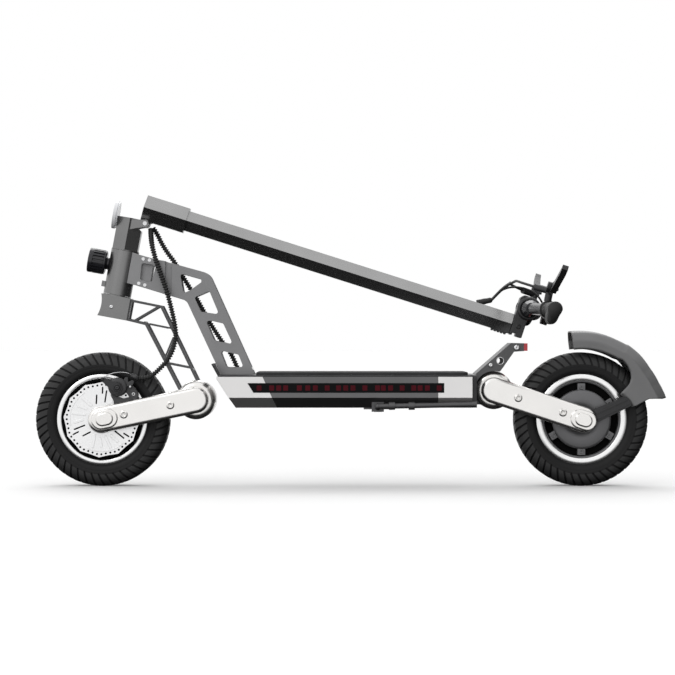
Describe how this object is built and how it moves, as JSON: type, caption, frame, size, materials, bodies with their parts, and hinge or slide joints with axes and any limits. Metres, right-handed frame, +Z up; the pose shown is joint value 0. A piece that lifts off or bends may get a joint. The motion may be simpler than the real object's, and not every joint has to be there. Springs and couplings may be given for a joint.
{
  "type": "folding electric kick scooter",
  "caption": "Folding electric kick scooter stored folded, with a plate-frame neck, truss fork, swing-arm suspension and a footboard.",
  "frame": {"origin": "on the ground, under the centre of the bounding box", "axes": "+X to the rear, +Y to the rider's right, +Z up; the front wheel is at -X"},
  "size_m": [1.2, 0.62, 0.5553],
  "materials": {
    "anodised_silver": "satin",
    "stem_silver": "satin",
    "painted_grey": "satin",
    "painted_dark": "satin",
    "deck_grey": "satin",
    "steel": "brushed",
    "black_plastic": "matte",
    "gloss_black": "gloss",
    "white_reflector": "gloss",
    "red_lens": "gloss",
    "clear_lens": "gloss",
    "tyre": "matte",
    "rubber": "matte",
    "cell_wrap": "matte"
  },
  "bodies": {
    "frame": {"deck_shell": "deck_grey", "deck_nose": "anodised_silver", "deck_tail": "anodised_silver", "rear_plate": "painted_dark", "deck_lid": "painted_dark", "foot_mat": "rubber", "battery_pack": "cell_wrap", "motor_controller": "anodised_silver", "side_lights": "gloss_black", "neck_plates": "painted_grey", "neck_head_block": "painted_grey", "neck_hardware": "steel", "head_tube": "painted_grey", "headset_bearings": "steel", "headlight_body": "gloss_black", "headlight_lens": "clear_lens", "tail_bracket": "painted_grey", "tail_light": "red_lens", "rear_pivot_drum": "anodised_silver", "kickstand_bracket": "painted_dark", "neck_conduit": "rubber"},
    "fork": {"steering_column": "stem_silver", "hinge_pin": "steel", "front_reflector": "white_reflector", "fork_crown": "painted_grey", "fork_truss": "painted_grey", "front_pivot_drum": "anodised_silver", "brake_conduit": "rubber"},
    "stem": {"stem_tube": "stem_silver", "stem_foot": "painted_dark", "handlebar_clamp": "stem_silver", "handlebar": "painted_dark", "grip_left": "rubber", "grip_right": "rubber", "lever_perches": "black_plastic", "display_unit": "black_plastic", "bar_cables": "rubber"},
    "collar": {"lock_collar": "stem_silver"},
    "lever_left": {"brake_lever_left": "painted_dark"},
    "lever_right": {"brake_lever_right": "painted_dark"},
    "throttle": {"throttle_trigger": "black_plastic"},
    "front_arms": {"front_arm_left": "anodised_silver", "front_arm_right": "anodised_silver", "front_swing_shaft": "steel", "front_axle": "steel", "front_caliper": "painted_dark"},
    "caliper_arm": {"front_brake_arm": "painted_dark"},
    "front_wheel": {"front_tyre": "tyre", "front_rim": "anodised_silver", "front_rotor": "steel"},
    "rear_arms": {"rear_arm_left": "anodised_silver", "rear_arm_right": "anodised_silver", "rear_swing_shaft": "steel", "rear_axle": "steel", "rear_fender": "painted_grey", "fender_stay": "painted_dark"},
    "rear_wheel": {"rear_tyre": "tyre", "motor_wheel": "anodised_silver", "rear_rotor": "steel"},
    "kickstand": {"kickstand_leg": "painted_dark"}
  },
  "joints": [
    {"name": "steer", "type": "hinge", "parent": "frame", "child": "fork", "pos_m": [-0.4193, 0, 0.5116], "axis": [0.1822, 0, 0.9833], "range_deg": [-45, 45], "deforming": ["neck_conduit"]},
    {"name": "stem_fold", "type": "hinge", "parent": "fork", "child": "stem", "pos_m": [-0.3914, 0, 0.5007], "axis": [0, -1, 0], "range_deg": [0, 97.1]},
    {"name": "collar_slide", "type": "slide", "parent": "stem", "child": "collar", "axis": [0.9532, 0, -0.3024], "range_m": [0, 0.0178]},
    {"name": "front_suspension", "type": "hinge", "parent": "fork", "child": "front_arms", "pos_m": [-0.2938, 0, 0.1645], "axis": [0, 1, 0], "range_deg": [0, 12], "stiffness_Nm_per_rad": 300, "springref_deg": -6.88, "deforming": ["brake_conduit"]},
    {"name": "rear_suspension", "type": "hinge", "parent": "frame", "child": "rear_arms", "pos_m": [0.2725, 0, 0.1831], "axis": [0, -1, 0], "range_deg": [0, 12], "stiffness_Nm_per_rad": 400, "springref_deg": -6.88},
    {"name": "front_wheel_spin", "type": "hinge", "parent": "front_arms", "child": "front_wheel", "pos_m": [-0.4725, 0, 0.1275], "axis": [0, 1, 0], "continuous": true},
    {"name": "rear_wheel_spin", "type": "hinge", "parent": "rear_arms", "child": "rear_wheel", "pos_m": [0.4405, 0, 0.1275], "axis": [0, 1, 0], "continuous": true},
    {"name": "kickstand_swing", "type": "hinge", "parent": "frame", "child": "kickstand", "pos_m": [0.0515, -0.097, 0.1542], "axis": [0, 0.9061, -0.423], "range_deg": [0, 120]},
    {"name": "brake_lever_left_pull", "type": "hinge", "parent": "stem", "child": "lever_left", "pos_m": [0.36915, -0.178, 0.37484], "axis": [0.9532, 0, -0.3024], "range_deg": [0, 20], "stiffness_Nm_per_rad": 0.5, "springref_deg": -17.19},
    {"name": "brake_lever_right_pull", "type": "hinge", "parent": "stem", "child": "lever_right", "pos_m": [0.36915, 0.178, 0.37484], "axis": [-0.9532, 0, 0.3024], "range_deg": [0, 20], "stiffness_Nm_per_rad": 0.5, "springref_deg": -17.19},
    {"name": "caliper_arm_pull", "type": "hinge", "parent": "front_arms", "child": "caliper_arm", "pos_m": [-0.441, -0.058, 0.188], "axis": [0, 1, 0], "range_deg": [0, 15]},
    {"name": "throttle_press", "type": "hinge", "parent": "stem", "child": "throttle", "pos_m": [0.34135, 0.033, 0.33781], "axis": [0, 1, 0], "range_deg": [0, 30], "stiffness_Nm_per_rad": 0.05, "springref_deg": -17.19}
  ],
  "couplings": [
    {"joint": "collar_slide", "follows": "stem_fold", "m_per_rad": 0.010385},
    {"joint": "caliper_arm_pull", "follows": "brake_lever_left_pull", "ratio": 0.6}
  ]
}
